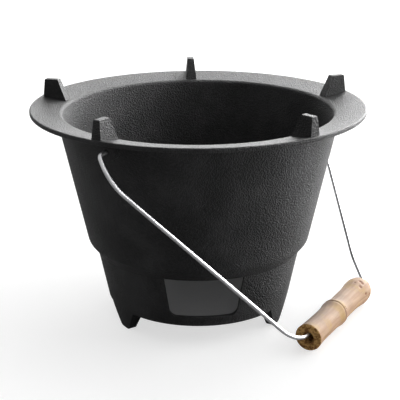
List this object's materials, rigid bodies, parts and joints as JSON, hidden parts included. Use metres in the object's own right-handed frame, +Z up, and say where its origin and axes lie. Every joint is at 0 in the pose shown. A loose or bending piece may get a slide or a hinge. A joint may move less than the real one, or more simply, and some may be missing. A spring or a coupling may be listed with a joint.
{
  "type": "portable wood stove",
  "caption": "Round flared cast stove with rim pot supports, front air inlet, toes, lift-out grate and a swinging wire bail with a bamboo grip.",
  "frame": {"origin": "on the floor, on the axis of the bowl", "axes": "+Z up the bowl's axis, -Y out of the air inlet"},
  "size_m": [0.3161, 0.3, 0.2153],
  "materials": {
    "casting": "black sand-cast surface with a fine grain",
    "grate_iron": "black sand-cast surface, rougher",
    "steel_wire": "bright drawn wire",
    "bamboo": "smooth bare bamboo root with a cut end"
  },
  "bodies": {
    "stove": {"stove_body": "casting"},
    "grate": {"charcoal_grate": "grate_iron"},
    "bail": {"bail_wire": "steel_wire"},
    "grip": {"bamboo_grip": "bamboo"}
  },
  "joints": [
    {"name": "grate_lift", "type": "slide", "parent": "stove", "child": "grate", "axis": [0, 0, 1], "range_m": [0, 0.15]},
    {"name": "bail_swing", "type": "hinge", "parent": "stove", "child": "bail", "pos_m": [0, 0, 0.19], "axis": [-0.5446, -0.8387, 0], "range_deg": [0, 286]},
    {"name": "grip_turn", "type": "hinge", "parent": "bail", "child": "grip", "pos_m": [0.12426, -0.04612, 0.0165], "axis": [0.5446, 0.8387, 0], "continuous": true}
  ]
}
